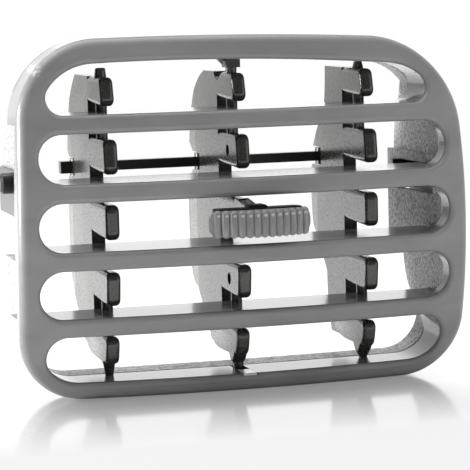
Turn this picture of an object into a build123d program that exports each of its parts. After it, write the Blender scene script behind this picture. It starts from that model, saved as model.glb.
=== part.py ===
from build123d import *
from math import sqrt
import os

# Dashboard air vent cartridge, in millimetres.
# X is to the right as the driver sees it, Y goes back into the dashboard, Z is up.
# The pieces are drawn from the foremost point of the domed face. They are written from the middle
# of the tilt axis, the line through the two side stubs, which is the finished part's origin.

# Face and rim
HALF_WIDTH = 55.1            # centre line to the widest point of a side edge
WIDEST_Z = -12.0             # height of that widest point
TOP_Z = 43.2                 # crown of the top edge
BOTTOM_Z = -41.5             # lowest point of the bottom edge
SIDE_LEAN_TOP = 2.1          # how far the sides lean in at the top corners
SIDE_LEAN_BOTTOM = 0.5       # the same at the bottom corners
TOP_FALL_LEFT = 0.5          # how far the top edge falls towards its left corner
TOP_FALL_RIGHT = 2.6         # and towards its right corner, which is the rounder one
BOTTOM_CROWN = 0.4           # how far the bottom edge rises towards its corners
REST_FLAT = 0.1              # how much the middle of the bottom edge is flattened, where the part stands
TOP_CORNER_R_LEFT = 20.0
TOP_CORNER_R_RIGHT = 23.3
BOTTOM_CORNER_R = 15.5
DOME_R_ACROSS = 388.0        # radius of the face across its width
DOME_R_UPRIGHT = 112.0       # radius of the face from top to bottom
RIM_EDGE_R = 2.6             # rounding of the rim's outer front edge
SLOT_EDGE_R = 1.1            # rounding of the slots' front edges

# Slots and crossbars
RIM_SIDE = 4.7               # width of the rim beside the slots
RIM_TOP = 5.8
RIM_BOTTOM = 4.2
OPENING_FALL_LEFT = 0.5
OPENING_FALL_RIGHT = 3.2
OPENING_CORNER_R_LEFT = 14.0
OPENING_CORNER_R_RIGHT = 13.0
OPENING_BOTTOM_CORNER_R = 9.5
BAR_COUNT = 4
BAR_PITCH = 15.74
BAR_THICKNESS = 4.4
SLOT_END_R = 5.6             # the middle slots' round ends
SLOT_END_DEPTH_Y = 9.0       # behind this the middle slots end square, at the ears
BAR_END_GAP = 1.1            # between the bars' rear ends and the outline of the opening
TOP_SLOT_CORNER_R = 3.8      # the top slot's corners at its crossbar
TOP_SLOT_CORNER_SHARE = 0.45  # and the most that those corners take of the slot's height at its end
BOTTOM_SLOT_CORNER_R = 5.0   # the bottom slot's corners at its crossbar
BOTTOM_SLOT_CORNER_SHARE = 0.48

# Walls of the rim
SKIRT_WALL = 1.8             # outer wall
LIP_WALL = 1.5               # inner wall round the slots
FACE_WALL = 3.2              # thickness of the face over the groove between the walls
SKIRT_REAR_Y = 20.0          # rear edge of the rim above and below
SIDE_REAR_Y = 10.0           # rear edge of the rim at the sides
STEP_TOP_Z = 23.6            # where the rim's rear edge steps, above
STEP_BOTTOM_Z = -21.3        # and below

# Collar behind the rim
PARTING_GAP = 0.15
FIT_GAP = 0.1
COLLAR_WALL = 1.8
COLLAR_TONGUE = 2.2          # how far the collar reaches into the rim's groove
COLLAR_FLANGE = 2.0
COLLAR_REAR_Y = 28.0         # rear edge above and below
COLLAR_SHOULDER_TOP_Z = 30.0     # where the rear edge starts back towards the ears, above
COLLAR_SHOULDER_BOTTOM_Z = -26.0  # and below
COLLAR_SWEEP = 3.2           # how far those two stretches of the rear edge bow forward
EAR_REAR_Y = 41.8            # rear edge of the ears
EAR_TOP_Z = 12.4             # top of the inset part of an ear
EAR_BOTTOM_Z = -11.0
EAR_INSET = 2.4              # how far the ear leans in at its rear edge
EAR_RIB = 1.5
EAR_CORNER = 2.0             # slope at the ears' lower rear corner
WINDOW_TOP_Z = 10.0
WINDOW_BOTTOM_Z = 2.5
WINDOW_FRONT_Y = 13.0
WINDOW_REAR_Y = 37.0

# Vanes
VANE_PITCH = 32.0
VANE_THICKNESS = 3.3
VANE_TAIL_THICKNESS = 1.9
VANE_TAPER_START_Y = 46.5    # the blade is level to here and thins behind it
VANE_TAPER_END_Y = 56.0
VANE_PIVOT_Y = 17.5
PIN_D = 2.7
PIN_CLEARANCE = 0.05         # radial, on each bearing
NOTCH_REAR_Y = 24.9          # rear wall of the notches that clear the crossbars
FINGER_FRONT_Y = (10.4, 8.0, 8.1, 8.9, 11.6)
FINGER_TOP_Z = (34.0, 19.6, 4.3, -11.6, -27.3)
FINGER_BOTTOM_Z = (27.2, 11.4, -4.0, -19.7)
FINGER_CORNER_R = 1.8
FINGER_NOSE_R = 1.1          # rounding of the fingers' front edges
FINGER_RISE = 0.6            # how much the underside of a finger rises towards the blade
VANE_FOOT_Z = {"left": -31.2, "centre": -33.0, "right": -33.0}
# Corners of each vane's rear edge, as depth and height, from the top down to the foot
VANE_REAR = {"left": ((39.0, 34.0), (53.4, 13.6), (52.9, -15.8), (49.5, -19.2), (37.5, -29.8)),
             "centre": ((36.5, 34.0), (55.0, 13.6), (56.0, -16.5), (47.5, -20.9), (36.8, -31.0)),
             "right": ((39.4, 24.2), (49.5, 13.6), (51.6, -6.2), (47.2, -8.9), (39.4, -18.2))}
VANE_REAR_BOW = {"left": (2.6, 0.9, 0.5), "centre": (4.2, 1.5, 1.6), "right": (0.0, 1.9, 0.9)}
VANE_FOOT_R = 1.6            # rounding of the lower rear corner
RIGHT_VANE_TOP_Y = 38.2
RIGHT_VANE_FOOT_Y = 36.6
RIGHT_NECK_BOW = 0.3
RIGHT_FOOT_BOW = 0.8
SNAP_MOUTH = 2.3             # mouth of the crossbars' snap bearings
SHORT_PIN_TOP_Z = 36.1       # the left vane's upper stub ends free
PIN_FOOT_D = 3.0             # the end pins are cones, this thick at the vane
PIN_TIP_D = 2.0              # and this thick in the lip
SHORT_PIN_TIP_D = 2.4
PIN_ROUND_R = 0.5
FOOT_CONE_D = 7.0            # the last finger tapers down to its pin
FOOT_CONE_HEIGHT = 3.0

# Marks of the centre vane
CROSS_HOLE_D = 2.8           # hole through the second finger
CROSS_HOLE_Y = 16.5
CROSS_HOLE_Z = 15.4
EJECTOR_D = 3.0              # shallow round mark on the fourth finger
EJECTOR_DEPTH = 0.6
EJECTOR_Y = 17.8
EJECTOR_Z = -15.7
TOP_NOTCH_R = 3.4            # round notch in the top edge
TOP_NOTCH_DEPTH = 2.0
TOP_NOTCH_Y = 24.4

# Link rod
LINK_Y = 45.5                # line of the pins that the rod turns on
LINK_Z = 10.85
LINK_PIN_D = 2.0
LINK_NOTCH_FRONT_Y = 42.9
LINK_NOTCH_HEIGHT = 4.7
LINK_NOTCH_R = 0.5
LINK_FLARE_Y = 50.5          # behind this the notch widens to its mouth
LINK_FLARE = 0.5             # by this much for each millimetre of depth, above and below
ROD_HEIGHT = 2.4
ROD_DEPTH = 2.4
ROD_EYE_D = 4.4
ROD_EYE_HEIGHT = 4.2
ROD_MOUTH = 1.7
ROD_END_X = 4.8              # how far the block at the rod's left end reaches past the last pin
ROD_END_HEIGHT = 3.0
ROD_END_DEPTH = 2.6

# Thumb tab
TAB_WIDTH = 24.4
TAB_HEIGHT = 6.5
TAB_END_Y = -5.0             # where the ribbed front starts to curve round
TAB_FRONT_Y = -9.0
TAB_SPLIT_Y = -3.3           # grip in front, core behind
TAB_REAR_Y = 0.4
TAB_EDGE_R = 0.9
TAB_CORNER_R = 1.8           # rounding of the ends, from above
TAB_BARREL_R = 2.1           # rounding of the ends, from the front
TAB_RIB_COUNT = 13
TAB_RIB_R = 0.6
TAB_RIB_HEIGHT = 0.35        # how far the ribs stand proud
TAB_CORE_WIDTH = 21.0
TAB_CORE_HEIGHT = 6.4
TAB_CORE_CORNER_R = 1.6
TAB_BOSS_WIDTH = 4.6         # boss over the fork, on top of the core
TAB_BOSS_HEIGHT = 0.7
TAB_KEY_WIDTH = 15.0
TAB_KEY_HEIGHT = 2.4
TAB_KEY_DEPTH = 1.6
PRONG_HEIGHT = 3.4
PRONG_SHOULDER_HEIGHT = 5.8
PRONG_FRONT_Y = -2.4
PRONG_FIT = 0.1

# Upper bush of the centre vane
BUSH_WIDTH = 3.4
BUSH_DEPTH = 4.2
BUSH_BOTTOM_Z = 35.2
BUSH_SPIGOT_D = 4.0
GUSSET_WIDTH = 1.7           # small rib of the rim beside the bush
GUSSET_THICKNESS = 1.2

# Channel that the centre vane's lower pin slides in along
CHANNEL_WIDTH = 3.2
CHANNEL_DEPTH = 0.9
CHANNEL_FRONT_Y = 13.0

# Side clips
CLIP_PLATE = 1.0
CLIP_LAP = 0.8               # how far the plate laps the window's edges
CLIP_LEG = 2.2               # thickness of the legs that go through the window
CLIP_HOOK = 1.4              # how far the rear leg's hook passes the ear
CLIP_HOOK_LAP = 0.9
STUB_D = 5.0
STUB_Y = 21.0
STUB_Z = 9.6
STUB_LENGTH = 3.0
STUB_LEAD_IN = 0.6

# Sizes that follow from the ones above
OPENING_HALF_WIDTH = HALF_WIDTH - RIM_SIDE
OPENING_TOP_Z = TOP_Z - RIM_TOP
OPENING_BOTTOM_Z = BOTTOM_Z + RIM_BOTTOM
BAR_Z = [BAR_PITCH * ((BAR_COUNT - 1) / 2 - i) for i in range(BAR_COUNT)]
VANE_X = {"left": -VANE_PITCH, "centre": 0.0, "right": VANE_PITCH}
BORE_D = PIN_D + 2 * PIN_CLEARANCE
TIP_BORE_D = PIN_TIP_D + 2 * PIN_CLEARANCE
EAR_OUT_X = OPENING_HALF_WIDTH + COLLAR_WALL
FAR = 80.0                   # longer than any piece, for cutting shapes


def rounded_outline(half_width, top, bottom, falls, top_radii, bottom_radius):
    """A four-sided outline with bowed sides and round corners, drawn with Z upwards."""
    x_top = half_width - SIDE_LEAN_TOP
    x_bottom = half_width - SIDE_LEAN_BOTTOM
    left_top = (-x_top, top - falls[0])
    right_top = (x_top, top - falls[1])
    left_bottom = (-x_bottom, bottom + BOTTOM_CROWN)
    right_bottom = (x_bottom, bottom + BOTTOM_CROWN)
    top_edge = ThreePointArc(left_top, (0, top), right_top)
    right_edge = ThreePointArc(right_top, (half_width, WIDEST_Z), right_bottom)
    bottom_edge = ThreePointArc(right_bottom, (0, bottom), left_bottom)
    left_edge = ThreePointArc(left_bottom, (-half_width, WIDEST_Z), left_top)
    face = make_face([top_edge, right_edge, bottom_edge, left_edge])
    for corner, radius in ((left_top, top_radii[0]), (right_top, top_radii[1]),
                           (left_bottom, bottom_radius), (right_bottom, bottom_radius)):
        face = fillet(face.vertices().sort_by_distance((*corner, 0))[0], radius)
    return face


def rim_outline(inset=0.0):
    top_radii = (TOP_CORNER_R_LEFT - inset, TOP_CORNER_R_RIGHT - inset)
    return rounded_outline(HALF_WIDTH - inset, TOP_Z - inset, BOTTOM_Z + inset,
                           (TOP_FALL_LEFT, TOP_FALL_RIGHT), top_radii, BOTTOM_CORNER_R - inset)


def opening_outline(inset=0.0):
    """The outline round all five slots, which the collar's inside continues."""
    top_radii = (OPENING_CORNER_R_LEFT - inset, OPENING_CORNER_R_RIGHT - inset)
    return rounded_outline(OPENING_HALF_WIDTH - inset, OPENING_TOP_Z - inset, OPENING_BOTTOM_Z + inset,
                           (OPENING_FALL_LEFT, OPENING_FALL_RIGHT), top_radii, OPENING_BOTTOM_CORNER_R - inset)


def along_y(sketch, front, rear):
    """Extrudes an outline drawn in the face's plane from one depth to another."""
    return Pos(0, front, 0) * extrude(Plane.XZ * sketch, amount=rear - front, dir=(0, 1, 0))


def along_x(sketch, left, right):
    """Extrudes a side view, drawn with Y across and Z upwards."""
    return Pos(left, 0, 0) * extrude(Plane.YZ * sketch, amount=right - left)


def along_z(sketch, low, high):
    """Extrudes a plan view."""
    return Pos(0, 0, low) * extrude(sketch, amount=high - low)


def block(x0, x1, y0, y1, z0, z1):
    return Pos((x0 + x1) / 2, (y0 + y1) / 2, (z0 + z1) / 2) * Box(x1 - x0, y1 - y0, z1 - z0)


def post(x, y, z0, z1, diameter):
    return Pos(x, y, (z0 + z1) / 2) * Cylinder(diameter / 2, z1 - z0)


def cone(x, y, z0, z1, low_diameter, high_diameter):
    return Pos(x, y, (z0 + z1) / 2) * Cone(low_diameter / 2, high_diameter / 2, z1 - z0)


def dome(offset):
    """Everything behind the domed face, which is a parabola both ways, moved back by an offset."""
    rise_x = FAR ** 2 / (2 * DOME_R_ACROSS)
    rise_z = FAR ** 2 / (2 * DOME_R_UPRIGHT)
    steps = ((-1, 1), (0, -1), (1, 1))
    net = [[(i * FAR, rise_x * lift_x + rise_z * lift_z + offset, j * FAR) for j, lift_z in steps]
           for i, lift_x in steps]
    return extrude(Face.make_bezier_surface(net), amount=FAR, dir=(0, 1, 0))


def ear_face_x(y):
    """Inner face of the ears: it leans in from the rim to the rear edge."""
    return OPENING_HALF_WIDTH - EAR_INSET * (y - SIDE_REAR_Y) / (EAR_REAR_Y - SIDE_REAR_Y)


def slot_solid(index):
    """The space of one of the five slots, counted from the top."""
    bar_edges = []
    low = -FAR
    high = FAR
    if index > 0:
        high = BAR_Z[index - 1] - BAR_THICKNESS / 2
        bar_edges.append(high)
    if index < BAR_COUNT:
        low = BAR_Z[index] + BAR_THICKNESS / 2
        bar_edges.append(low)
    band = Pos(0, (low + high) / 2) * Rectangle(2 * FAR, high - low)
    slot = along_y(opening_outline() & band, -5, FAR)
    corners = [edge for edge in slot.edges().filter_by(Axis.Y)
               if min(abs(edge.center().Z - z) for z in bar_edges) < 0.01]
    if index == 0:
        end_height = OPENING_TOP_Z - OPENING_FALL_RIGHT - low
        return fillet(corners, min(TOP_SLOT_CORNER_R, TOP_SLOT_CORNER_SHARE * end_height))
    if index == BAR_COUNT:
        end_height = high - OPENING_BOTTOM_Z - BOTTOM_CROWN
        return fillet(corners, min(BOTTOM_SLOT_CORNER_R, BOTTOM_SLOT_CORNER_SHARE * end_height))
    square_end = along_y(opening_outline() & band, SLOT_END_DEPTH_Y, FAR)
    return fillet(corners, SLOT_END_R) + square_end


def make_bezel():
    body = along_y(rim_outline(), -1, SKIRT_REAR_Y) & dome(0)
    face = body.faces().sort_by(Axis.Y)[0]
    body = fillet(face.edges(), RIM_EDGE_R)
    body -= block(-FAR, FAR, -FAR, FAR, BOTTOM_Z - 1, BOTTOM_Z + REST_FLAT)
    # At the sides the rim is shallow, and only the bars reach further back, clear of the ears.
    side_cut = block(-FAR, FAR, SIDE_REAR_Y, FAR, STEP_BOTTOM_Z, STEP_TOP_Z)
    body -= side_cut - along_y(opening_outline(BAR_END_GAP), 0, 2 * FAR)
    for index in range(BAR_COUNT + 1):
        body -= slot_solid(index)
    face = body.faces().sort_by(Axis.Y)[0]
    slot_edges = [edge for wire in face.inner_wires() for edge in wire.edges()]
    body = fillet(slot_edges, SLOT_EDGE_R)
    groove = rim_outline(SKIRT_WALL) - opening_outline(-LIP_WALL)
    body -= along_y(groove, 0, FAR) & dome(FACE_WALL)
    for x in VANE_X.values():
        for z in (BAR_Z[0], BAR_Z[-1]):
            low = z - BAR_THICKNESS
            high = z + BAR_THICKNESS
            body -= post(x, VANE_PIVOT_Y, low, high, BORE_D)
            body -= block(x - SNAP_MOUTH / 2, x + SNAP_MOUTH / 2, VANE_PIVOT_Y, FAR, low, high)
    lip_bottom = OPENING_BOTTOM_Z - LIP_WALL
    for x in (VANE_X["left"], VANE_X["right"]):
        body -= post(x, VANE_PIVOT_Y, lip_bottom - 0.5, OPENING_BOTTOM_Z + 1, TIP_BORE_D)
    top_bore_from = opening_top_at(VANE_X["right"]) - 1
    body -= post(VANE_X["right"], VANE_PIVOT_Y, top_bore_from, OPENING_TOP_Z + LIP_WALL + 0.5, TIP_BORE_D)
    body -= post(0, VANE_PIVOT_Y, OPENING_TOP_Z - 1, OPENING_TOP_Z + LIP_WALL + 0.5, BUSH_SPIGOT_D)
    body -= block(-CHANNEL_WIDTH / 2, CHANNEL_WIDTH / 2, CHANNEL_FRONT_Y, FAR,
                  OPENING_BOTTOM_Z - CHANNEL_DEPTH, OPENING_BOTTOM_Z + 1)
    gusset_x = -BUSH_SPIGOT_D / 2 - FIT_GAP
    gusset_top = OPENING_TOP_Z + LIP_WALL / 2
    gusset = make_face(Polyline((gusset_x, gusset_top), (gusset_x - GUSSET_WIDTH, gusset_top),
                                (gusset_x - GUSSET_WIDTH, OPENING_TOP_Z), (gusset_x, OPENING_TOP_Z - GUSSET_WIDTH),
                                close=True))
    return body + along_y(gusset, VANE_PIVOT_Y - GUSSET_THICKNESS / 2, VANE_PIVOT_Y + GUSSET_THICKNESS / 2)


def collar_side_view():
    """The collar from the side: where its wall stays."""
    above = OPENING_TOP_Z + RIM_TOP
    below = OPENING_BOTTOM_Z - RIM_BOTTOM
    rear = COLLAR_REAR_Y
    ear_low = EAR_BOTTOM_Z + EAR_CORNER
    upper = SagittaArc((rear, COLLAR_SHOULDER_TOP_Z), (EAR_REAR_Y, EAR_TOP_Z), COLLAR_SWEEP)
    ear_foot = (EAR_REAR_Y - 2 * EAR_CORNER, EAR_BOTTOM_Z)
    lower = SagittaArc(ear_foot, (rear, COLLAR_SHOULDER_BOTTOM_Z), COLLAR_SWEEP)
    front = Polyline((rear, COLLAR_SHOULDER_BOTTOM_Z), (rear, below), (0, below), (0, above), (rear, above),
                     (rear, COLLAR_SHOULDER_TOP_Z))
    ear = Polyline((EAR_REAR_Y, EAR_TOP_Z), (EAR_REAR_Y, ear_low), ear_foot)
    return make_face([front, upper, ear, lower])


def make_collar():
    inner = opening_outline()
    wall = opening_outline(-COLLAR_WALL) - inner
    rim_inside = rim_outline(SKIRT_WALL + FIT_GAP)
    flange = rim_inside - inner
    tongue = rim_inside - opening_outline(-LIP_WALL - FIT_GAP)
    side_front = SIDE_REAR_Y + PARTING_GAP
    main_front = SKIRT_REAR_Y + PARTING_GAP
    step_top = STEP_TOP_Z - PARTING_GAP
    step_bottom = STEP_BOTTOM_Z + PARTING_GAP

    def zones(shape, side_from, side_to, main_from, main_to):
        """A ring that starts further forward at the sides than above and below."""
        side = along_y(shape, side_from, side_to) & block(-FAR, FAR, -FAR, FAR, step_bottom, step_top)
        main = along_y(shape, main_from, main_to)
        main -= block(-FAR, FAR, -FAR, FAR, step_bottom + COLLAR_FLANGE, step_top - COLLAR_FLANGE)
        return side + main

    body = zones(wall, side_front, FAR / 2 + 5, main_front, FAR / 2 + 5)
    body &= along_x(collar_side_view(), -FAR, FAR)
    body += zones(flange, side_front, side_front + COLLAR_FLANGE, main_front, main_front + COLLAR_FLANGE)
    body += zones(tongue, side_front - COLLAR_TONGUE, side_front + COLLAR_FLANGE / 2,
                  main_front - COLLAR_TONGUE, main_front + COLLAR_FLANGE / 2)
    for side in (1, -1):
        body = body - ear_clearance(side)
        body = body + make_ear(side)
    return body & dome(FACE_WALL + PARTING_GAP)


def ear_clearance(side):
    """The straight wall gives way to the ear that leans in."""
    x0, x1 = sorted((side * (OPENING_HALF_WIDTH - 6), side * FAR))
    return block(x0, x1, SIDE_REAR_Y + PARTING_GAP + COLLAR_FLANGE, FAR, EAR_BOTTOM_Z, EAR_TOP_Z - EAR_RIB)


def make_ear(side):
    front = SIDE_REAR_Y + PARTING_GAP
    x_front = ear_face_x(front)
    x_rear = ear_face_x(EAR_REAR_Y)
    plate = Polyline((x_front, front), (x_front + COLLAR_WALL, front), (x_rear + COLLAR_WALL, EAR_REAR_Y),
                     (x_rear, EAR_REAR_Y), close=True)
    rib = Polyline((x_front, front), (EAR_OUT_X, front), (EAR_OUT_X, EAR_REAR_Y), (x_rear, EAR_REAR_Y),
                   close=True)
    ear = along_z(make_face(plate), EAR_BOTTOM_Z, EAR_TOP_Z)
    rib_solid = along_z(make_face(rib), EAR_TOP_Z - EAR_RIB, EAR_TOP_Z)
    rib_solid += along_z(make_face(rib), EAR_BOTTOM_Z, EAR_BOTTOM_Z + EAR_RIB)
    ear = (ear + rib_solid) & along_x(collar_side_view(), -FAR, FAR)
    ear -= block(0, FAR, WINDOW_FRONT_Y, WINDOW_REAR_Y, WINDOW_BOTTOM_Z, WINDOW_TOP_Z)
    return ear if side > 0 else mirror(ear, Plane.YZ)


def make_clip(side):
    """A clip that sits in the ear's window, with the stub that the cartridge tilts on."""
    z0 = WINDOW_BOTTOM_Z + FIT_GAP
    z1 = WINDOW_TOP_Z - FIT_GAP
    front = WINDOW_FRONT_Y + FIT_GAP
    rear = WINDOW_REAR_Y - FIT_GAP
    plate_x = EAR_OUT_X + FIT_GAP
    plate_top = max(z1, STUB_Z + STUB_D / 2) + CLIP_LAP / 2
    hook_x = ear_face_x(rear + CLIP_HOOK_LAP) - FIT_GAP
    clip = block(plate_x, plate_x + CLIP_PLATE, front - CLIP_LAP, rear + CLIP_LAP, z0 - CLIP_LAP, plate_top)
    clip += block(ear_face_x(front), plate_x, front, front + CLIP_LEG, z0, z1)
    clip += block(hook_x - CLIP_HOOK, plate_x, rear - CLIP_LEG, rear, z0, z1)
    hook = Polyline((hook_x, rear - CLIP_LEG), (hook_x, rear + CLIP_HOOK_LAP),
                    (hook_x - CLIP_HOOK, rear), (hook_x - CLIP_HOOK, rear - CLIP_LEG), close=True)
    clip += along_z(make_face(hook), z0, z1)
    stub = Cylinder(STUB_D / 2, STUB_LENGTH, align=(Align.CENTER, Align.CENTER, Align.MIN))
    stub = chamfer(stub.edges().sort_by(Axis.Z)[-1], STUB_LEAD_IN)
    clip += Pos(plate_x + CLIP_PLATE, STUB_Y, STUB_Z) * Rot(0, 90, 0) * stub
    return clip if side > 0 else mirror(clip, Plane.YZ)


def rear_edge(name):
    """Rear outline of a vane, from its top corner down to its foot."""
    top, shoulder, heel, heel_end, foot = VANE_REAR[name]
    bow_top, bow_middle, bow_heel = VANE_REAR_BOW[name]
    floor = VANE_FOOT_Z[name]
    edge = [SagittaArc(shoulder, heel, bow_middle), SagittaArc(heel, heel_end, bow_heel)]
    edge.append(Line(heel_end, foot))
    if name == "right":
        # This vane is waisted: straight above and below its bulge.
        neck = SagittaArc((RIGHT_VANE_TOP_Y, FINGER_TOP_Z[0]), top, -RIGHT_NECK_BOW)
        tail = SagittaArc(foot, (RIGHT_VANE_FOOT_Y, floor), RIGHT_FOOT_BOW)
        return [neck, Line(top, shoulder)] + edge + [tail]
    corner = (foot[0] - VANE_FOOT_R, floor)
    return [SagittaArc(top, shoulder, bow_top)] + edge + [Line(foot, corner)]


def finger_solid(index, name):
    """One finger: its front lies parallel to the domed face, and its front edges are round."""
    front = FINGER_FRONT_Y[index]
    top = FINGER_TOP_Z[index]
    last = index == len(FINGER_TOP_Z) - 1
    bottom = VANE_FOOT_Z[name] if last else FINGER_BOTTOM_Z[index]
    middle = (top + bottom) / 2
    lean_top = (top ** 2 - middle ** 2) / (2 * DOME_R_UPRIGHT)
    lean_bottom = (bottom ** 2 - middle ** 2) / (2 * DOME_R_UPRIGHT)
    rear = NOTCH_REAR_Y + 1
    rise = 0 if last else FINGER_RISE
    view = make_face(Polyline((rear, top), (front + lean_top, top), (front + lean_bottom, bottom),
                              (rear, bottom + rise), close=True))
    view = fillet(view.vertices().sort_by(Axis.X)[:2], FINGER_CORNER_R)
    half = VANE_THICKNESS / 2
    finger = along_x(view, -half, half)
    nose = [edge for edge in finger.edges()
            if abs(abs(edge.center().X) - half) < 0.01 and edge.center().Y < front + 2 * FINGER_CORNER_R]
    return fillet(nose, FINGER_NOSE_R)


def blade_view(name):
    """The blade behind the fingers, from the side."""
    edge = rear_edge(name)
    start = edge[0] @ 0
    end = edge[-1] @ 1
    front = Polyline((end.X, end.Y), (NOTCH_REAR_Y, end.Y), (NOTCH_REAR_Y, start.Y), (start.X, start.Y))
    return make_face(edge + [front])


def link_notch():
    """The notch that the link rod snaps into, from the side."""
    half = LINK_NOTCH_HEIGHT / 2
    flared = half + LINK_FLARE * (FAR - LINK_FLARE_Y)
    view = make_face(Polyline((LINK_NOTCH_FRONT_Y, -half), (LINK_FLARE_Y, -half), (FAR, -flared), (FAR, flared),
                              (LINK_FLARE_Y, half), (LINK_NOTCH_FRONT_Y, half), close=True))
    view = fillet(view.vertices().sort_by(Axis.X)[:2], LINK_NOTCH_R)
    return Pos(0, 0, LINK_Z) * along_x(view, -VANE_THICKNESS, VANE_THICKNESS)


def vane_plan():
    """The blade from above: level, then thinner towards its tail."""
    half = VANE_THICKNESS / 2
    tail = VANE_TAIL_THICKNESS / 2
    path = Polyline((-half, 0), (half, 0), (half, VANE_TAPER_START_Y), (tail, VANE_TAPER_END_Y), (tail, FAR),
                    (-tail, FAR), (-tail, VANE_TAPER_END_Y), (-half, VANE_TAPER_START_Y), close=True)
    return make_face(path)


def make_prong():
    """The centre vane's middle finger reaches forward to the thumb tab."""
    root = FINGER_FRONT_Y[2] + 3
    shoulder = PRONG_SHOULDER_HEIGHT / 2
    tip = PRONG_HEIGHT / 2
    seat = TAB_REAR_Y + PRONG_FIT
    view = Polyline((root, FINGER_TOP_Z[2]), (seat, shoulder), (seat, tip), (PRONG_FRONT_Y, tip),
                    (PRONG_FRONT_Y, -tip), (seat, -tip), (seat, -shoulder), (root, FINGER_BOTTOM_Z[2]), close=True)
    return along_x(make_face(view), -VANE_THICKNESS / 2, VANE_THICKNESS / 2)


def end_pins(name):
    """The cones that turn in the lip above and below the vane."""
    half = VANE_THICKNESS / 2
    foot = VANE_FOOT_Z[name]
    cone_end = foot - FOOT_CONE_HEIGHT
    pins = cone(0, VANE_PIVOT_Y, cone_end, foot + 0.5, PIN_FOOT_D, FOOT_CONE_D)
    pins &= block(-half, half, 0, FAR, -FAR, 0)
    if name == "centre":
        pins += post(0, VANE_PIVOT_Y, lower_pin_end(name), foot, PIN_D)
        return pins + post(0, VANE_PIVOT_Y, FINGER_TOP_Z[0] - 1, upper_pin_end(name), PIN_D)
    floor = opening_bottom_at(VANE_X[name]) + 2 * FIT_GAP
    pins += cone(0, VANE_PIVOT_Y, floor, cone_end, PIN_TIP_D, PIN_FOOT_D)
    pins += post(0, VANE_PIVOT_Y, lower_pin_end(name), floor, PIN_TIP_D)
    root = FINGER_TOP_Z[0] - 0.5
    if name == "left":
        short = cone(0, VANE_PIVOT_Y, root, SHORT_PIN_TOP_Z, PIN_FOOT_D, SHORT_PIN_TIP_D)
        return pins + fillet(short.edges().sort_by(Axis.Z)[-1], PIN_ROUND_R)
    ceiling = opening_top_at(VANE_X[name]) - 2 * FIT_GAP
    pins += cone(0, VANE_PIVOT_Y, root, ceiling, PIN_FOOT_D, PIN_TIP_D)
    return pins + post(0, VANE_PIVOT_Y, ceiling, upper_pin_end(name), PIN_TIP_D)


def make_vane(name):
    body = along_x(blade_view(name), -VANE_THICKNESS, VANE_THICKNESS) & along_z(vane_plan(), -FAR, FAR)
    for index in range(len(FINGER_TOP_Z)):
        body += finger_solid(index, name)
    if name == "centre":
        body += make_prong()
    body -= link_notch()
    pin_reach = LINK_NOTCH_HEIGHT / 2 + 0.5
    body += post(0, LINK_Y, LINK_Z - pin_reach, LINK_Z + pin_reach, LINK_PIN_D)
    # The journals bridge the notches at the first and last bars.
    for index in (0, BAR_COUNT - 1):
        body += post(0, VANE_PIVOT_Y, FINGER_TOP_Z[index + 1] - 1, FINGER_BOTTOM_Z[index] + 1.5, PIN_D)
    body += end_pins(name)
    if name == "centre":
        along = Rot(0, 90, 0)
        body -= Pos(0, CROSS_HOLE_Y, CROSS_HOLE_Z) * along * Cylinder(CROSS_HOLE_D / 2, 2 * VANE_THICKNESS)
        mark = Pos(-VANE_THICKNESS / 2, EJECTOR_Y, EJECTOR_Z) * along
        body -= mark * Cylinder(EJECTOR_D / 2, 2 * EJECTOR_DEPTH)
        notch_z = FINGER_TOP_Z[0] + TOP_NOTCH_R - TOP_NOTCH_DEPTH
        body -= Pos(0, TOP_NOTCH_Y, notch_z) * along * Cylinder(TOP_NOTCH_R, 2 * VANE_THICKNESS)
    return Pos(VANE_X[name], 0, 0) * body


def opening_top_at(x):
    """Height of the slots' upper outline at a distance from the centre line."""
    reach = OPENING_HALF_WIDTH - SIDE_LEAN_TOP
    even = (OPENING_FALL_LEFT + OPENING_FALL_RIGHT) / 2
    uneven = (OPENING_FALL_RIGHT - OPENING_FALL_LEFT) / 2
    return OPENING_TOP_Z - even * (x / reach) ** 2 - uneven * x / reach


def opening_bottom_at(x):
    return OPENING_BOTTOM_Z + BOTTOM_CROWN * (x / (OPENING_HALF_WIDTH - SIDE_LEAN_BOTTOM)) ** 2


def upper_pin_end(name):
    if name == "left":
        return SHORT_PIN_TOP_Z
    return opening_top_at(VANE_X[name]) + LIP_WALL / 2


def lower_pin_end(name):
    if name == "centre":
        return OPENING_BOTTOM_Z - CHANNEL_DEPTH + FIT_GAP
    return opening_bottom_at(VANE_X[name]) - LIP_WALL / 2


def make_bush():
    top = OPENING_TOP_Z - FIT_GAP
    bush = block(-BUSH_WIDTH / 2, BUSH_WIDTH / 2, VANE_PIVOT_Y - BUSH_DEPTH / 2, VANE_PIVOT_Y + BUSH_DEPTH / 2,
                 BUSH_BOTTOM_Z, top)
    bush += post(0, VANE_PIVOT_Y, top - 0.5, OPENING_TOP_Z + LIP_WALL, BUSH_SPIGOT_D - 2 * PIN_CLEARANCE)
    return bush - post(0, VANE_PIVOT_Y, BUSH_BOTTOM_Z - 1, OPENING_TOP_Z + LIP_WALL + 1, BORE_D)


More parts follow.
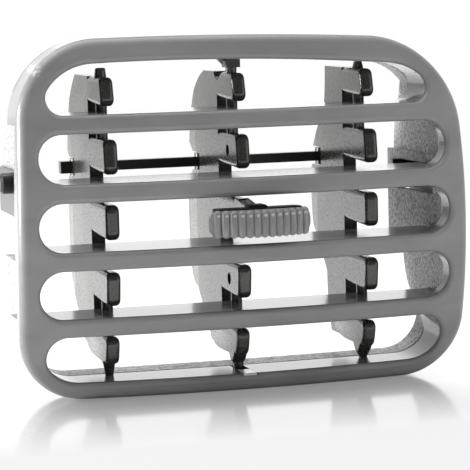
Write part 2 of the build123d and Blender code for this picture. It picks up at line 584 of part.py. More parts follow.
def make_link_rod():
    left = VANE_X["left"] - ROD_END_X
    half_depth = ROD_DEPTH / 2
    half_height = ROD_HEIGHT / 2
    rod = block(left, VANE_X["right"], LINK_Y - half_depth, LINK_Y + half_depth,
                LINK_Z - half_height, LINK_Z + half_height)
    rod += block(left, VANE_X["left"] - LINK_PIN_D, LINK_Y - ROD_END_DEPTH / 2, LINK_Y + ROD_END_DEPTH / 2,
                 LINK_Z - ROD_END_HEIGHT / 2, LINK_Z + ROD_END_HEIGHT / 2)
    low = LINK_Z - ROD_EYE_HEIGHT / 2
    high = LINK_Z + ROD_EYE_HEIGHT / 2
    for x in VANE_X.values():
        rod += post(x, LINK_Y, low, high, ROD_EYE_D)
    for x in VANE_X.values():
        rod -= post(x, LINK_Y, low - 1, high + 1, LINK_PIN_D + 2 * PIN_CLEARANCE)
        rod -= block(x - ROD_MOUTH / 2, x + ROD_MOUTH / 2, LINK_Y, FAR, low - 1, high + 1)
    return rod


def grip_plan():
    half = TAB_WIDTH / 2
    front = ThreePointArc((-half, TAB_END_Y), (0, TAB_FRONT_Y), (half, TAB_END_Y))
    back = Polyline((half, TAB_END_Y), (half, TAB_SPLIT_Y), (-half, TAB_SPLIT_Y), (-half, TAB_END_Y))
    return make_face([front, back])


def front_arc_radius():
    rise = TAB_END_Y - TAB_FRONT_Y
    return ((TAB_WIDTH / 2) ** 2 + rise ** 2) / (2 * rise)


def make_grip():
    half_height = TAB_HEIGHT / 2
    form = along_z(grip_plan(), -half_height, half_height)
    corners = [edge for edge in form.edges().filter_by(Axis.Z) if edge.center().Y < TAB_SPLIT_Y - 0.1]
    form = fillet(corners, TAB_CORNER_R)
    front_view = fillet(Rectangle(TAB_WIDTH, TAB_HEIGHT).vertices(), TAB_BARREL_R)
    form &= along_y(front_view, TAB_FRONT_Y - 1, TAB_SPLIT_Y)
    long_edges = [edge for edge in form.edges() if edge.center().Y < TAB_END_Y and edge.length > TAB_WIDTH / 2]
    form = fillet(long_edges, TAB_EDGE_R)
    ribs = None
    radius = front_arc_radius()
    centre_y = TAB_FRONT_Y + radius
    pitch = TAB_WIDTH / (TAB_RIB_COUNT + 1)
    for i in range(TAB_RIB_COUNT):
        x = pitch * (i - (TAB_RIB_COUNT - 1) / 2)
        y = centre_y - sqrt((radius - TAB_RIB_R) ** 2 - x ** 2)
        rib = post(x, y, -half_height, half_height, 2 * TAB_RIB_R)
        ribs = rib if ribs is None else ribs + rib
    grip = (form & (Pos(0, TAB_RIB_HEIGHT, 0) * form)) + (form & ribs)
    key_x = TAB_KEY_WIDTH / 2 + FIT_GAP
    key_z = TAB_KEY_HEIGHT / 2 + FIT_GAP
    return grip - block(-key_x, key_x, TAB_SPLIT_Y - TAB_KEY_DEPTH - FIT_GAP, TAB_SPLIT_Y + 1, -key_z, key_z)


def make_core():
    width = TAB_CORE_WIDTH / 2
    height = TAB_CORE_HEIGHT / 2
    core = block(-width, width, TAB_SPLIT_Y, TAB_REAR_Y, -height, height)
    core = fillet(core.edges().filter_by(Axis.Z).group_by(Axis.Y)[-1], TAB_CORE_CORNER_R)
    core += block(-TAB_KEY_WIDTH / 2, TAB_KEY_WIDTH / 2, TAB_SPLIT_Y - TAB_KEY_DEPTH, TAB_SPLIT_Y + 0.5,
                  -TAB_KEY_HEIGHT / 2, TAB_KEY_HEIGHT / 2)
    boss = block(-TAB_BOSS_WIDTH / 2, TAB_BOSS_WIDTH / 2, TAB_SPLIT_Y + 0.5, TAB_REAR_Y,
                 height - 0.5, height + TAB_BOSS_HEIGHT)
    core += fillet(boss.edges().filter_by(Axis.Y).group_by(Axis.Z)[-1], TAB_BOSS_HEIGHT)
    socket_x = VANE_THICKNESS / 2 + PRONG_FIT
    socket_z = PRONG_HEIGHT / 2 + PRONG_FIT
    return core - block(-socket_x, socket_x, PRONG_FRONT_Y - PRONG_FIT, TAB_REAR_Y + 5, -socket_z, socket_z)


def write(name, shape):
    solids = (Pos(0, -STUB_Y, -STUB_Z) * shape).solids()
    result = solids[0] if len(solids) == 1 else Compound(children=list(solids))
    export_step(result, f"parts/{name}.step")
    print(name, len(solids), "solid,", round(shape.volume), "mm3")


os.makedirs("parts", exist_ok=True)
write("bezel_grille", make_bezel())
write("rear_shell", make_collar())
write("side_clip_left", make_clip(-1))
write("side_clip_right", make_clip(1))
for vane in VANE_X:
    write(f"vane_{vane}", make_vane(vane))
write("pivot_bush", make_bush())
write("link_rod", make_link_rod())
write("thumb_tab_grip", make_grip())
write("thumb_tab_core", make_core())
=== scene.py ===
"""Dashboard air vent cartridge: finishes, fine pieces, light and camera."""
import math

import bmesh
import bpy
from mathutils import Matrix, Vector


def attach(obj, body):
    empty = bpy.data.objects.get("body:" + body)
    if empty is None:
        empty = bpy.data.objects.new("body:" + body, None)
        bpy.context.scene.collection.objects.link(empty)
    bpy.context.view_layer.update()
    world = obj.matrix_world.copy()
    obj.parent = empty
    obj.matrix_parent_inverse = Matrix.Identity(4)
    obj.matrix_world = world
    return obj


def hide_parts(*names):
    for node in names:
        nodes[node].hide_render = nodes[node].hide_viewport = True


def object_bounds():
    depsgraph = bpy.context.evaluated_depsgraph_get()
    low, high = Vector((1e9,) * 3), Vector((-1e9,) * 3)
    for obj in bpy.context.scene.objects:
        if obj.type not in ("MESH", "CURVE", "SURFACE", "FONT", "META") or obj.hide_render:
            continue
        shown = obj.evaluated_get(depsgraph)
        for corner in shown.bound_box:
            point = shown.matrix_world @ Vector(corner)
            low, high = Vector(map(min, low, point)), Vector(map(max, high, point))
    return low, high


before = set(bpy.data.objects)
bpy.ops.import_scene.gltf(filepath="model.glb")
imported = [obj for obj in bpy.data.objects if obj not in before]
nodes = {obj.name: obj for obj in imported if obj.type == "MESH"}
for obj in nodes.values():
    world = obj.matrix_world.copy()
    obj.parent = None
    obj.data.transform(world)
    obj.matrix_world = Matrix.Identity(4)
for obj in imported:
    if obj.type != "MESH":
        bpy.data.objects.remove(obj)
cad_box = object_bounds()

MM = 0.001

# Camera, fitted to the photograph: its place and aim, in millimetres from the tilt axis
CAMERA_AZIMUTH = 15.78
CAMERA_ELEVATION = 6.31
CAMERA_ROLL = -1.40
CAMERA_DISTANCE = 520.69
CAMERA_TARGET = (-4.95, -21.0, -12.78)
CAMERA_FOCAL_SHARE = 2235.38 / 470   # focal length over the width of the picture
CAMERA_CLIP = 0.01
SENSOR = 36.0

# The room: its level in front and behind, and the depths of a direction between which it changes
ROOM_FRONT = 0.14
ROOM_BACK = 1.20
ROOM_CHANGE = (-0.7, 0.1)

# The soft square lamps, all aimed at the tilt axis: name, place and size in metres, power in watts
LAMPS = (("top_lamp", (-0.10, 0.02, 0.85), 0.9, 9.0),
         ("left_lamp", (-0.85, 0.30, 0.13), 0.34, 20.0),
         ("front_lamp", (0.75, -0.70, 0.12), 0.7, 2.5),
         ("back_lamp", (0.33, 1.20, 0.14), 0.5, 0.45))

# The floor, in metres. Its matt colour as the camera sees it, and as it lights the object
FLOOR_SIZE = 6.0
FLOOR_GAP = 0.0001
FLOOR_ALBEDO_SEEN = 0.30
FLOOR_ALBEDO_FRONT = 0.95
FLOOR_ALBEDO_BACK = 0.82
FLOOR_ALBEDO_CHANGE = (-0.06, 0.02)
# how much of it glows white and how much mirrors, where the mirror fades out forward
FLOOR_GLOW = 0.75
FLOOR_MIRROR = 0.36
FLOOR_MIRROR_ROUGHNESS = 0.12
FLOOR_MIRROR_FADE = (-0.070, -0.020)
# the painted shadow: how much the glow darkens under the object, and where that ends in front, behind and
# at the sides
FLOOR_PAINTED_SHADOW = 0.50
FLOOR_PAINTED_SHADOW_FRONT = (-0.066, -0.022)
FLOOR_PAINTED_SHADOW_BEHIND = (-0.01, 0.03)
FLOOR_PAINTED_SHADOW_SIDE = (0.040, 0.064)
# how far off it turns plain white
FLOOR_WHITE = (0.25, 0.60)

# The drawing's origin, seen from the tilt axis, in millimetres
DRAWING_Y = -21.0
DRAWING_Z = -9.6

# Marks in the face moulding's finish, in millimetres from the tilt axis: a rubbed spot, and painted shade
# and light for a channel and for the gap behind the skirt
SPOT_X = (-49.8, -47.8)
SPOT_Z = (25.2, 28.0)
CHANNEL_Y = (-18.6, -8.0)
CHANNEL_Z = (-49.5, -44.5)
CHANNEL_FLOOR_X = (-1.6, 1.6)
CHANNEL_WALLS_X = (-1.9, 2.1)
PARTING_Y = -1.55
PARTING_RISE = 31.0   # above and below the drawing's middle
MARK_SOFTNESS = 0.12

# The vanes' feet, side view in the drawing's millimetres (depth, height), front first
FOOT_FRONT = ((13.4, -27.35), (12.8, -27.47), (12.2, -27.85), (11.75, -28.45), (11.57, -29.1),
              (11.74, -29.8), (11.92, -30.5), (12.20, -31.5), (12.39, -32.2), (12.74, -33.1),
              (13.40, -33.75), (14.30, -34.0))
FOOT_REAR_SHORT = ((17.0, -33.98), (20.0, -33.95), (24.0, -33.9), (26.5, -33.85), (28.5, -33.7),
                   (30.5, -33.4), (32.2, -32.9), (33.7, -32.2), (35.0, -31.3), (35.9, -30.3),
                   (36.3, -29.2), (36.3, -28.1), (35.5, -27.35), (30.0, -27.35), (24.0, -27.35),
                   (18.0, -27.35))
FOOT_REAR_LONG = ((17.0, -34.1), (20.0, -34.3), (24.0, -34.45), (27.5, -34.5), (30.0, -34.4),
                  (32.3, -34.1), (34.2, -33.4), (35.6, -32.5), (36.6, -31.5), (37.1, -30.4),
                  (37.1, -29.2), (36.6, -28.1), (35.5, -27.35), (30.0, -27.35), (24.0, -27.35),
                  (18.0, -27.35))
FOOT_HALF = 1.655
FOOT_ROUNDING = 1.1
FOOT_REAR_ROUNDING = 0.4   # as a share of the front's
FOOT_STEPS = 8
VANE_PITCH = 32.0
# name, body, place across, rear outline
FEET = (("foot_left", "left_vane", -VANE_PITCH, FOOT_REAR_SHORT),
        ("foot_centre", "centre_vane", 0.0, FOOT_REAR_LONG),
        ("foot_right", "right_vane", VANE_PITCH, FOOT_REAR_SHORT))

# The thumb tab's grip: a bowed body and its ribs, in the drawing's millimetres
GRIP_HALF_WIDTH = 12.2
GRIP_END_Y = -4.4
GRIP_FRONT_Y = -8.45
GRIP_BACK_Y = -3.35
GRIP_HALF_HEIGHT = 2.95
GRIP_EDGE_R = 0.8
GRIP_EDGE_FIT = 2.2   # least thickness over the rounding of its edges
GRIP_BARREL_R = 2.1
GRIP_STATIONS = 48
GRIP_CORNER_STEPS = 4
RIB_COUNT = 13
RIB_PITCH = 1.743
RIB_R = 1.08
RIB_HEIGHT = 6.5
RIB_CREST_Y = -9.0
RIB_BOW_R = 21.0
RIB_SEGMENTS = 24
RIB_RINGS = 16

# Painted highlight spots on the ribs' rounded tops: heights above the grip's middle, and where they fade
# across a rib
HIGHLIGHT_DOT_HEIGHTS = (1.75, 2.25)
HIGHLIGHT_DOT_FADE = (0.25, 0.45)
HIGHLIGHT_DOT_SOFTNESS = 0.15


def new_material(name, colour, roughness, ior=1.48):
    """A material with one plastic shader; returns it with its node tree and the shader."""
    material = bpy.data.materials.new(name)
    material.use_nodes = True
    tree = material.node_tree
    shader = tree.nodes["Principled BSDF"]
    shader.inputs["Base Color"].default_value = (*colour, 1.0)
    shader.inputs["Roughness"].default_value = roughness
    shader.inputs["IOR"].default_value = ior
    return material, tree, shader


def feed(tree, socket, value):
    """Links another node's socket to this one, or sets this one to a plain value."""
    if isinstance(value, bpy.types.NodeSocket):
        tree.links.new(value, socket)
    else:
        socket.default_value = value


def add(tree, kind, **inputs):
    """A new node; inputs by name, with underscores for spaces, are values or other nodes' sockets."""
    node = tree.nodes.new(kind)
    for name, value in inputs.items():
        feed(tree, node.inputs[name.replace("_", " ")], value)
    return node


def calculate(tree, operation, *values):
    """One Math node; each value is a number or a socket."""
    node = tree.nodes.new("ShaderNodeMath")
    node.operation = operation
    for socket, value in zip(node.inputs, values):
        feed(tree, socket, value)
    return node.outputs[0]


def remap(tree, value, low, high, to_low, to_high):
    """Turns the stretch from low to high into the one from to_low to to_high, and stays inside it."""
    node = add(tree, "ShaderNodeMapRange", Value=value, From_Min=low, From_Max=high,
               To_Min=to_low, To_Max=to_high)
    return node.outputs["Result"]


def own_coordinates(tree):
    """The place on the piece, which turns and slides with it."""
    return add(tree, "ShaderNodeTexCoord").outputs["Object"]


def own_place(tree):
    """The place on the piece along each axis, in metres."""
    split = add(tree, "ShaderNodeSeparateXYZ", Vector=own_coordinates(tree))
    return split.outputs["X"], split.outputs["Y"], split.outputs["Z"]


def own_normal(tree, axis):
    """How much the surface faces along this axis."""
    normal = add(tree, "ShaderNodeTexCoord").outputs["Normal"]
    return add(tree, "ShaderNodeSeparateXYZ", Vector=normal).outputs[axis]


def noise(tree, grain_mm, detail=2.0, roughness=0.5, squeeze=(1.0, 1.0, 1.0)):
    """A noise from 0 to 1 with lumps of about this size, drawn out along an axis squeezed below 1."""
    place = add(tree, "ShaderNodeMapping", Vector=own_coordinates(tree), Scale=squeeze)
    node = add(tree, "ShaderNodeTexNoise", Vector=place.outputs["Vector"], Scale=1.0 / (grain_mm * MM),
               Detail=detail, Roughness=roughness)
    return node.outputs["Fac"]


def above(tree, value, edge_mm, softness_mm=MARK_SOFTNESS):
    """1 where a place is past this edge, 0 before it."""
    return remap(tree, value, (edge_mm - softness_mm) * MM, (edge_mm + softness_mm) * MM, 0.0, 1.0)


def between(tree, value, limits_mm, softness_mm=MARK_SOFTNESS):
    """1 where a place is between two edges, 0 outside them."""
    low_mm, high_mm = limits_mm
    past_low = above(tree, value, low_mm, softness_mm)
    past_high = above(tree, value, high_mm, softness_mm)
    return calculate(tree, "SUBTRACT", past_low, past_high)


def all_of(tree, *masks):
    """1 where every mask is 1."""
    result = masks[0]
    for mask in masks[1:]:
        result = calculate(tree, "MULTIPLY", result, mask)
    return result


def as_colour(value):
    """A colour with its alpha, or a socket as it is."""
    return value if isinstance(value, bpy.types.NodeSocket) else (*value, 1.0)


def mix_colours(tree, factor, dark, light):
    """The dark colour where the factor is 0 and the light one where it is 1."""
    node = tree.nodes.new("ShaderNodeMix")
    node.data_type = "RGBA"
    tree.links.new(factor, node.inputs["Factor"])
    feed(tree, node.inputs[6], as_colour(dark))
    feed(tree, node.inputs[7], as_colour(light))
    return node.outputs[2]


def clouded(tree, cloud, dark, light, low=0.3, high=0.7):
    """A colour that wanders between two tones with a noise."""
    return mix_colours(tree, remap(tree, cloud, low, high, 0.0, 1.0), dark, light)


def bump(tree, shader, height, depth_mm):
    """Raises the surface by a height from 0 to 1, this deep at most."""
    node = add(tree, "ShaderNodeBump", Height=height, Distance=depth_mm * MM, Strength=1.0)
    tree.links.new(node.outputs["Normal"], shader.inputs["Normal"])


def painted_channel_masks(tree, x, y, z):
    """The channel from the middle pin to the lip's front edge, painted on and not modelled: masks for its
    walls, painted dark as shade, and its floor, painted light as lit.
    """
    upward = remap(tree, own_normal(tree, "Z"), 0.5, 0.7, 0.0, 1.0)
    lip_top = all_of(tree, upward, between(tree, y, CHANNEL_Y), between(tree, z, CHANNEL_Z))
    walls = all_of(tree, lip_top, between(tree, x, CHANNEL_WALLS_X))
    bottom = all_of(tree, lip_top, between(tree, x, CHANNEL_FLOOR_X))
    return walls, bottom


def rubbed_spot(tree, x, z):
    """A rubbed spot on the rim, high on the left."""
    patchy = remap(tree, noise(tree, 0.7, detail=3.0), 0.42, 0.6, 0.0, 1.0)
    return all_of(tree, between(tree, x, SPOT_X, 0.4), between(tree, z, SPOT_Z, 0.6), patchy)


def parting_gap_shade(tree, y, z):
    """Painted shade: a dark line in the gap where the collar meets the skirt, above and below."""
    rise = calculate(tree, "ABSOLUTE", calculate(tree, "SUBTRACT", z, DRAWING_Z * MM))
    return all_of(tree, above(tree, y, PARTING_Y), above(tree, rise, PARTING_RISE))


def satin_grey():
    """The face moulding: fine satin texture in front, smoother walls in the slots."""
    material, tree, shader = new_material("satin_grey", (0.15, 0.148, 0.15), 0.4)
    x, y, z = own_place(tree)
    streaks = noise(tree, 6.0, detail=5.0, roughness=0.6, squeeze=(0.35, 1.0, 1.0))
    colour = clouded(tree, streaks, dark=(0.132, 0.130, 0.134), light=(0.164, 0.162, 0.165))
    colour = mix_colours(tree, rubbed_spot(tree, x, z), colour, (0.30, 0.30, 0.305))
    walls, bottom = painted_channel_masks(tree, x, y, z)
    # painted shade on the channel's walls, and painted light on its floor
    colour = mix_colours(tree, walls, colour, (0.03, 0.03, 0.03))
    colour = mix_colours(tree, bottom, colour, (0.72, 0.72, 0.72))
    # painted shade in the gap where the collar meets the skirt, which is also made dull
    gap_shade = parting_gap_shade(tree, y, z)
    colour = mix_colours(tree, gap_shade, colour, (0.02, 0.02, 0.02))
    tree.links.new(colour, shader.inputs["Base Color"])
    # 1 on faces that look forward, 0 on the walls of the slots
    front = remap(tree, own_normal(tree, "Y"), -0.75, -0.35, 1.0, 0.0)
    satin_gloss = remap(tree, front, 0.0, 1.0, 0.18, 0.42)
    dull_gap_shade = calculate(tree, "MULTIPLY", gap_shade, 0.8)
    tree.links.new(calculate(tree, "MAXIMUM", satin_gloss, dull_gap_shade), shader.inputs["Roughness"])
    tree.links.new(remap(tree, gap_shade, 0.0, 1.0, 0.5, 0.05), shader.inputs["Specular IOR Level"])
    bump(tree, shader, noise(tree, 0.3, detail=3.0), 0.008)
    return material


def grained_grey():
    """The collar and its ears: a spark-eroded grain."""
    material, tree, shader = new_material("grained_grey", (0.16, 0.16, 0.16), 0.45)
    grain = noise(tree, 0.75, detail=4.0, roughness=0.6)
    colour = clouded(tree, grain, dark=(0.13, 0.13, 0.132), light=(0.31, 0.31, 0.315), low=0.38, high=0.62)
    tree.links.new(colour, shader.inputs["Base Color"])
    tree.links.new(remap(tree, grain, 0.4, 0.6, 0.55, 0.3), shader.inputs["Roughness"])
    bump(tree, shader, grain, 0.15)
    return material


def olive_grey():
    """The vanes: dark satin plastic with small dull speckles drawn out from front to back."""
    material, tree, shader = new_material("olive_grey", (0.025, 0.025, 0.022), 0.24, ior=1.53)
    cloud = noise(tree, 5.0, detail=4.0)
    colour = clouded(tree, cloud, dark=(0.021, 0.021, 0.018), light=(0.029, 0.029, 0.025))
    tree.links.new(colour, shader.inputs["Base Color"])
    speckle = noise(tree, 0.42, detail=3.0, roughness=0.6, squeeze=(1.0, 0.4, 1.0))
    tree.links.new(remap(tree, speckle, 0.35, 0.7, 0.16, 0.34), shader.inputs["Roughness"])
    tree.links.new(remap(tree, speckle, 0.56, 0.66, 0.5, 0.30), shader.inputs["Specular IOR Level"])
    bump(tree, shader, noise(tree, 0.25, detail=2.0), 0.004)
    return material


def black_acetal():
    """The rod, the bush and the clips: smooth black plastic."""
    material, tree, shader = new_material("black_acetal", (0.009, 0.009, 0.009), 0.28)
    bump(tree, shader, noise(tree, 0.8, detail=2.0), 0.01)
    return material


def warm_grey():
    """The ribbed grip: upright streaks, and small painted highlights high on the ribs."""
    material, tree, shader = new_material("warm_grey", (0.14, 0.138, 0.138), 0.38)
    streaks = noise(tree, 1.0, detail=4.0, roughness=0.6, squeeze=(1.0, 1.0, 0.3))
    colour = clouded(tree, streaks, dark=(0.115, 0.113, 0.113), light=(0.165, 0.162, 0.163))
    x, _, z = own_place(tree)
    heights = [DRAWING_Z + height for height in HIGHLIGHT_DOT_HEIGHTS]
    from_crest = calculate(tree, "PINGPONG", x, RIB_PITCH / 2 * MM)
    on_crest = remap(tree, from_crest, HIGHLIGHT_DOT_FADE[0] * MM, HIGHLIGHT_DOT_FADE[1] * MM, 1.0, 0.0)
    # painted highlights on the rounded tops of the ribs, high up on each crest
    painted_highlights = all_of(tree, between(tree, z, heights, HIGHLIGHT_DOT_SOFTNESS), on_crest)
    colour = mix_colours(tree, painted_highlights, colour, (0.33, 0.33, 0.33))
    tree.links.new(colour, shader.inputs["Base Color"])
    bump(tree, shader, noise(tree, 0.3, detail=3.0), 0.012)
    return material


def dull_black():
    """The block behind the grip: dark and without gloss."""
    material, tree, shader = new_material("dull_black", (0.012, 0.012, 0.012), 0.5, ior=1.2)
    cloud = noise(tree, 2.5, detail=3.0)
    colour = clouded(tree, cloud, dark=(0.010, 0.010, 0.010), light=(0.017, 0.017, 0.016))
    tree.links.new(colour, shader.inputs["Base Color"])
    return material


def mesh_object(name, points, faces, material):
    """A smooth piece at the origin from points in the drawing's millimetres."""
    mesh = bpy.data.meshes.new(name)
    placed = [(px * MM, (py + DRAWING_Y) * MM, (pz + DRAWING_Z) * MM) for px, py, pz in points]
    mesh.from_pydata(placed, [], faces)
    shell = bmesh.new()
    shell.from_mesh(mesh)
    bmesh.ops.recalc_face_normals(shell, faces=shell.faces)
    shell.to_mesh(mesh)
    shell.free()
    mesh.materials.append(material)
    mesh.shade_smooth()
    obj = bpy.data.objects.new(name, mesh)
    bpy.context.collection.objects.link(obj)
    return obj


def lofted(rings):
    """Points and faces of a closed body through rings with the same number of points."""
    count = len(rings[0])
    points = [point for ring in rings for point in ring]
    faces = [tuple(range(count)), tuple(range(len(points) - 1, len(points) - count - 1, -1))]
    for k in range(len(rings) - 1):
        for i in range(count):
            j = (i + 1) % count
            faces.append((k * count + i, k * count + j, (k + 1) * count + j, (k + 1) * count + i))
    return points, faces


def inset(outline, amount):
    """A foot's outline moved inward, by this much in front and less at the rear."""
    moved = []
    for i, (py, pz) in enumerate(outline):
        before = Vector(outline[i - 1])
        after = Vector(outline[(i + 1) % len(outline)])
        along = (after - before).normalized()
        here = amount if i < len(FOOT_FRONT) else amount * FOOT_REAR_ROUNDING
        moved.append((py - along.y * here, pz + along.x * here))
    return moved


def vane_foot(name, body, middle_x, rear, material):
    """The rounded lower end of a vane's last finger, which reaches below the CAD's."""
    outline = [*FOOT_FRONT, *rear]
    rings = []
    for k in range(-FOOT_STEPS, FOOT_STEPS + 1):
        turn = math.pi / 2 * k / FOOT_STEPS
        side = math.copysign(FOOT_HALF - FOOT_ROUNDING, k) if k else 0.0
        px = middle_x + side + FOOT_ROUNDING * math.sin(turn)
        moved = inset(outline, FOOT_ROUNDING * (1 - math.cos(turn)))
        rings.append([(px, py, pz) for py, pz in moved])
    obj = mesh_object(name, *lofted(rings), material)
    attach(obj, body)


def grip_ring(px):
    """The grip's upright section at one place across: a rectangle with round corners."""
    share = px / GRIP_HALF_WIDTH
    front = GRIP_END_Y + (GRIP_FRONT_Y - GRIP_END_Y) * (1 - share * share)
    into_end = max(0.0, abs(px) - (GRIP_HALF_WIDTH - GRIP_BARREL_R)) / GRIP_BARREL_R
    high = GRIP_HALF_HEIGHT - GRIP_BARREL_R * (1 - math.sqrt(max(0.0, 1 - into_end * into_end)))
    thickness = min(GRIP_BACK_Y - front, 2 * high)
    edge = min(GRIP_EDGE_R, thickness / GRIP_EDGE_FIT)
    corners = ((GRIP_BACK_Y - edge, high - edge), (front + edge, high - edge),
               (front + edge, edge - high), (GRIP_BACK_Y - edge, edge - high))
    ring = []
    for quarter, (corner_y, corner_z) in enumerate(corners):
        for step in range(GRIP_CORNER_STEPS + 1):
            angle = math.pi / 2 * (quarter + step / GRIP_CORNER_STEPS)
            ring.append((px, corner_y + edge * math.cos(angle), corner_z + edge * math.sin(angle)))
    return ring


def grip_body(material):
    """The grip's smooth body, bowed forward in plan and rounded at its ends."""
    rings = []
    for k in range(GRIP_STATIONS + 1):
        rings.append(grip_ring(-GRIP_HALF_WIDTH * math.cos(math.pi * k / GRIP_STATIONS)))
    return mesh_object("ribbed_grip", *lofted(rings), material)


def rib_row(tree, given):
    """Geometry Nodes: one point for each rib, along the grip's bow."""
    spaces = calculate(tree, "SUBTRACT", given.outputs["Rib Count"], 1.0)
    half_count = calculate(tree, "DIVIDE", spaces, 2.0)
    reach = calculate(tree, "MULTIPLY", half_count, given.outputs["Rib Pitch"])
    start = add(tree, "ShaderNodeCombineXYZ", X=calculate(tree, "MULTIPLY", reach, -1.0))
    pitch = add(tree, "ShaderNodeCombineXYZ", X=given.outputs["Rib Pitch"])
    line = add(tree, "GeometryNodeMeshLine", Count=given.outputs["Rib Count"],
               Start_Location=start.outputs[0], Offset=pitch.outputs[0])
    place = tree.nodes.new("GeometryNodeInputPosition").outputs[0]
    across = add(tree, "ShaderNodeSeparateXYZ", Vector=place).outputs["X"]
    bow = given.outputs["Bow Radius"]
    bow_squared = calculate(tree, "MULTIPLY", bow, bow)
    across_squared = calculate(tree, "MULTIPLY", across, across)
    forward = calculate(tree, "SQRT", calculate(tree, "SUBTRACT", bow_squared, across_squared))
    back = calculate(tree, "SUBTRACT", bow, forward)
    inward = calculate(tree, "ADD", back, given.outputs["Rib Radius"])
    lift = tree.nodes.new("ShaderNodeVectorMath")
    lift.operation = "ADD"
    tree.links.new(add(tree, "ShaderNodeCombineXYZ", Y=inward).outputs[0], lift.inputs[0])
    tree.links.new(given.outputs["Crest"], lift.inputs[1])
    row = add(tree, "GeometryNodeSetPosition", Geometry=line.outputs[0], Offset=lift.outputs[0])
    return row.outputs[0]


def rib_capsule(tree, given):
    """Geometry Nodes: a ball whose upper and lower halves are moved apart."""
    ball = add(tree, "GeometryNodeMeshUVSphere", Segments=RIB_SEGMENTS, Rings=RIB_RINGS,
               Radius=given.outputs["Rib Radius"])
    place = tree.nodes.new("GeometryNodeInputPosition").outputs[0]
    up = add(tree, "ShaderNodeSeparateXYZ", Vector=place).outputs["Z"]
    half_height = calculate(tree, "DIVIDE", given.outputs["Rib Height"], 2.0)
    straight = calculate(tree, "SUBTRACT", half_height, given.outputs["Rib Radius"])
    shift = calculate(tree, "MULTIPLY", calculate(tree, "SIGN", up), straight)
    apart = add(tree, "ShaderNodeCombineXYZ", Z=shift).outputs[0]
    return add(tree, "GeometryNodeSetPosition", Geometry=ball.outputs[0], Offset=apart).outputs[0]


def rib_tree(material):
    """Geometry Nodes that set a row of upright capsules along the grip's bow."""
    tree = bpy.data.node_groups.new("grip_ribs", "GeometryNodeTree")
    tree.interface.new_socket("Geometry", in_out="INPUT", socket_type="NodeSocketGeometry")
    for name, kind in (("Rib Count", "NodeSocketInt"), ("Rib Pitch", "NodeSocketFloat"),
                       ("Rib Radius", "NodeSocketFloat"), ("Rib Height", "NodeSocketFloat"),
                       ("Bow Radius", "NodeSocketFloat"), ("Crest", "NodeSocketVector")):
        tree.interface.new_socket(name, in_out="INPUT", socket_type=kind)
    tree.interface.new_socket("Geometry", in_out="OUTPUT", socket_type="NodeSocketGeometry")
    given = tree.nodes.new("NodeGroupInput")
    ribs = add(tree, "GeometryNodeInstanceOnPoints", Points=rib_row(tree, given),
               Instance=rib_capsule(tree, given))
    both = tree.nodes.new("GeometryNodeJoinGeometry")
    tree.links.new(given.outputs["Geometry"], both.inputs[0])
    tree.links.new(ribs.outputs[0], both.inputs[0])
    real = add(tree, "GeometryNodeRealizeInstances", Geometry=both.outputs[0])
    smooth = add(tree, "GeometryNodeSetShadeSmooth", Geometry=real.outputs[0])
    finish = add(tree, "GeometryNodeSetMaterial", Geometry=smooth.outputs[0], Material=material)
    result = tree.nodes.new("NodeGroupOutput")
    tree.links.new(finish.outputs[0], result.inputs[0])
    return tree


def ribbed_grip(material):
    """The grip with its ribs, one mesh in place of the CAD's."""
    obj = grip_body(material)
    tree = rib_tree(material)
    modifier = obj.modifiers.new("ribs", "NODES")
    modifier.node_group = tree
    sizes = {"Rib Count": RIB_COUNT, "Rib Pitch": RIB_PITCH * MM, "Rib Radius": RIB_R * MM,
             "Rib Height": RIB_HEIGHT * MM, "Bow Radius": RIB_BOW_R * MM,
             "Crest": (0.0, (RIB_CREST_Y + DRAWING_Y) * MM, DRAWING_Z * MM)}
    for item in tree.interface.items_tree:
        if item.in_out == "INPUT" and item.name in sizes:
            modifier[item.identifier] = sizes[item.name]
    evaluated = obj.evaluated_get(bpy.context.evaluated_depsgraph_get())
    mesh = bpy.data.meshes.new_from_object(evaluated)
    mesh.name = "ribbed_grip"
    obj.modifiers.remove(modifier)
    obj.data = mesh
    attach(obj, "centre_vane")
    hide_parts("thumb_tab_grip")


def finish_node(name, material):
    """Puts a finish into every slot of a CAD node."""
    for slot in nodes[name].material_slots:
        slot.material = material


def white_room():
    """A white background, and a room that is brighter behind and above than in front."""
    world = bpy.data.worlds.new("white_room")
    world.use_nodes = True
    tree = world.node_tree
    background = tree.nodes["Background"]
    background.inputs["Color"].default_value = (1.0, 1.0, 1.0, 1.0)
    direction = add(tree, "ShaderNodeTexCoord").outputs["Generated"]
    depth = add(tree, "ShaderNodeSeparateXYZ", Vector=direction).outputs["Y"]
    room = remap(tree, depth, *ROOM_CHANGE, ROOM_FRONT, ROOM_BACK)
    seen = add(tree, "ShaderNodeLightPath").outputs["Is Camera Ray"]
    level = tree.nodes.new("ShaderNodeMix")
    tree.links.new(seen, level.inputs["Factor"])
    tree.links.new(room, level.inputs[2])
    level.inputs[3].default_value = 1.0
    tree.links.new(level.outputs[0], background.inputs["Strength"])
    bpy.context.scene.world = world


def lamp(name, place, size, power):
    """A square soft lamp that looks at the tilt axis."""
    data = bpy.data.lights.new(name, "AREA")
    data.size = size
    data.energy = power
    obj = bpy.data.objects.new(name, data)
    bpy.context.collection.objects.link(obj)
    obj.location = place
    obj.rotation_euler = (-Vector(place)).to_track_quat("-Z", "Y").to_euler()


def mix_shaders(tree, factor, first, second):
    """The first shader where the factor is 0 and the second where it is 1."""
    node = add(tree, "ShaderNodeMixShader", Fac=factor)
    tree.links.new(first.outputs[0], node.inputs[1])
    tree.links.new(second.outputs[0], node.inputs[2])
    return node


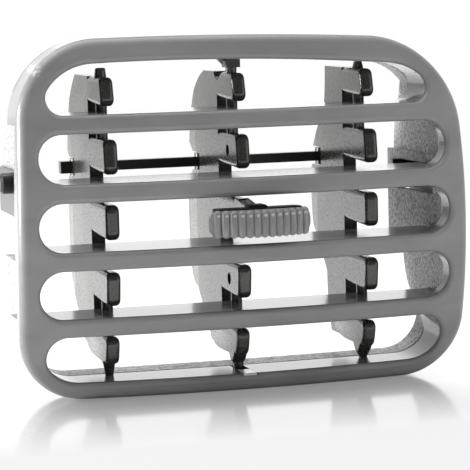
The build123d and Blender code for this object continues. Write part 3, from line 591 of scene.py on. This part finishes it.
def white_floor():
    """The floor's finish: a faint mirror and a painted shadow under the object, and plain white far off,
    for the camera.
    """
    material = bpy.data.materials.new("white_floor")
    material.use_nodes = True
    tree = material.node_tree
    tree.nodes.remove(tree.nodes["Principled BSDF"])
    x, depth, _ = own_place(tree)
    seen = add(tree, "ShaderNodeLightPath").outputs["Is Camera Ray"]

    # the matt part lights the object with one level and is seen with a lower one
    bounce = remap(tree, depth, *FLOOR_ALBEDO_CHANGE, FLOOR_ALBEDO_FRONT, FLOOR_ALBEDO_BACK)
    excess = calculate(tree, "SUBTRACT", bounce, FLOOR_ALBEDO_SEEN)
    albedo = calculate(tree, "SUBTRACT", bounce, calculate(tree, "MULTIPLY", seen, excess))
    diffuse = add(tree, "ShaderNodeBsdfDiffuse", Color=albedo)

    # the glow that the camera sees, with a painted shadow under the object
    under = all_of(tree, remap(tree, depth, *FLOOR_PAINTED_SHADOW_FRONT, 0.0, 1.0),
                   remap(tree, depth, *FLOOR_PAINTED_SHADOW_BEHIND, 1.0, 0.0),
                   remap(tree, calculate(tree, "ABSOLUTE", x), *FLOOR_PAINTED_SHADOW_SIDE, 1.0, 0.0))
    painted_shadow_colour = calculate(tree, "SUBTRACT", 1.0, calculate(tree, "MULTIPLY", under, FLOOR_PAINTED_SHADOW))
    glow = add(tree, "ShaderNodeEmission", Color=painted_shadow_colour, Strength=1.0)
    matt = mix_shaders(tree, calculate(tree, "MULTIPLY", seen, FLOOR_GLOW), diffuse, glow)

    # the mirror, which fades forward
    gloss = add(tree, "ShaderNodeBsdfGlossy", Color=(1.0, 1.0, 1.0, 1.0), Roughness=FLOOR_MIRROR_ROUGHNESS)
    mirror = remap(tree, depth, *FLOOR_MIRROR_FADE, 0.0, FLOOR_MIRROR)
    near = mix_shaders(tree, calculate(tree, "MULTIPLY", mirror, seen), matt, gloss)

    # plain white far off
    distance = add(tree, "ShaderNodeVectorMath", Vector=own_coordinates(tree))
    distance.operation = "LENGTH"
    far = remap(tree, distance.outputs["Value"], *FLOOR_WHITE, 0.0, 1.0)
    whole = mix_shaders(tree, calculate(tree, "MULTIPLY", far, seen), near, glow)
    tree.links.new(whole.outputs[0], tree.nodes["Material Output"].inputs["Surface"])
    return material


def floor():
    """A pale floor under the object."""
    mesh = bpy.data.meshes.new("floor")
    half = FLOOR_SIZE / 2
    z = cad_box[0][2] - FLOOR_GAP
    corners = [(-half, -half, z), (half, -half, z), (half, half, z), (-half, half, z)]
    mesh.from_pydata(corners, [], [(0, 1, 2, 3)])
    mesh.materials.append(white_floor())
    obj = bpy.data.objects.new("floor", mesh)
    bpy.context.collection.objects.link(obj)


def camera():
    """The camera, at the photograph's angle and distance."""
    azimuth = math.radians(CAMERA_AZIMUTH)
    elevation = math.radians(CAMERA_ELEVATION)
    level_reach = math.cos(elevation)
    back = Vector((-math.sin(azimuth) * level_reach, -math.cos(azimuth) * level_reach, math.sin(elevation)))
    target = Vector(CAMERA_TARGET) * MM
    roll = Matrix.Rotation(math.radians(CAMERA_ROLL), 3, "Z")
    turn = back.to_track_quat("Z", "Y").to_matrix() @ roll
    data = bpy.data.cameras.new("camera")
    data.sensor_width = SENSOR
    data.lens = CAMERA_FOCAL_SHARE * SENSOR
    data.clip_start = CAMERA_CLIP
    obj = bpy.data.objects.new("camera", data)
    obj.matrix_world = Matrix.Translation(target + back * CAMERA_DISTANCE * MM) @ turn.to_4x4()
    bpy.context.collection.objects.link(obj)
    bpy.context.scene.camera = obj


satin = satin_grey()
grained = grained_grey()
olive = olive_grey()
black = black_acetal()
warm = warm_grey()
core = dull_black()
for node_name, finish in (("bezel_grille", satin), ("rear_shell", grained), ("side_clip_left", black),
                          ("side_clip_right", black), ("vane_left", olive), ("vane_centre", olive),
                          ("vane_right", olive), ("pivot_bush", black), ("link_rod", black),
                          ("thumb_tab_grip", warm), ("thumb_tab_core", core)):
    finish_node(node_name, finish)

for foot_name, foot_body, foot_x, foot_rear in FEET:
    vane_foot(foot_name, foot_body, foot_x, foot_rear, olive)
ribbed_grip(warm)

bpy.context.scene.view_settings.view_transform = "Standard"
white_room()
for lamp_name, lamp_place, lamp_size, lamp_power in LAMPS:
    lamp(lamp_name, lamp_place, lamp_size, lamp_power)
floor()
camera()
